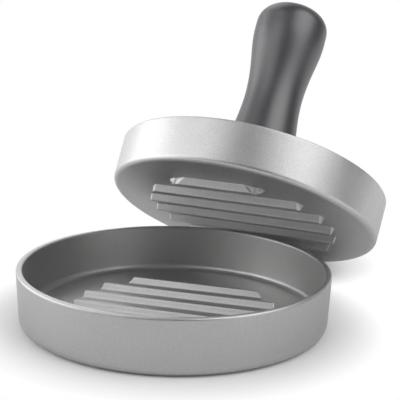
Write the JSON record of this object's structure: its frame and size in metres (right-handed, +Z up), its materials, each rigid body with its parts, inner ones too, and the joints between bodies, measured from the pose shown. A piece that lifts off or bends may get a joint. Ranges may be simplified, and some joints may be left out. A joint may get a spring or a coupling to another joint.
{
  "type": "burger press",
  "caption": "Cast aluminium burger press: a round ribbed tray, and a ribbed press plate with a dark upright grip leaning on its rim.",
  "frame": {"origin": "centre of the tray's flat underside, on the table", "axes": "+Z up along the tray's axis, +X along the tray's ribs; the press leans on the tray's rim on the +Y side"},
  "size_m": [0.1327, 0.1737, 0.1184],
  "materials": {
    "base_tray": "satin cast",
    "press_plate": "satin cast",
    "seal_washer": "moulded silicone",
    "handle_core": "moulded nylon",
    "handle_grip": "soft-touch, matt",
    "handle_insert": "turned",
    "handle_stud": "plated"
  },
  "bodies": {
    "tray": {"base_tray": "base_tray"},
    "press": {"press_plate": "press_plate", "seal_washer": "seal_washer", "handle_core": "handle_core", "handle_grip": "handle_grip", "handle_insert": "handle_insert", "handle_stud": "handle_stud"}
  },
  "joints": [
    {"name": "press_lift", "type": "slide", "parent": "tray", "child": "press", "axis": [0, 0, 1], "range_m": [0, 0.08]}
  ]
}
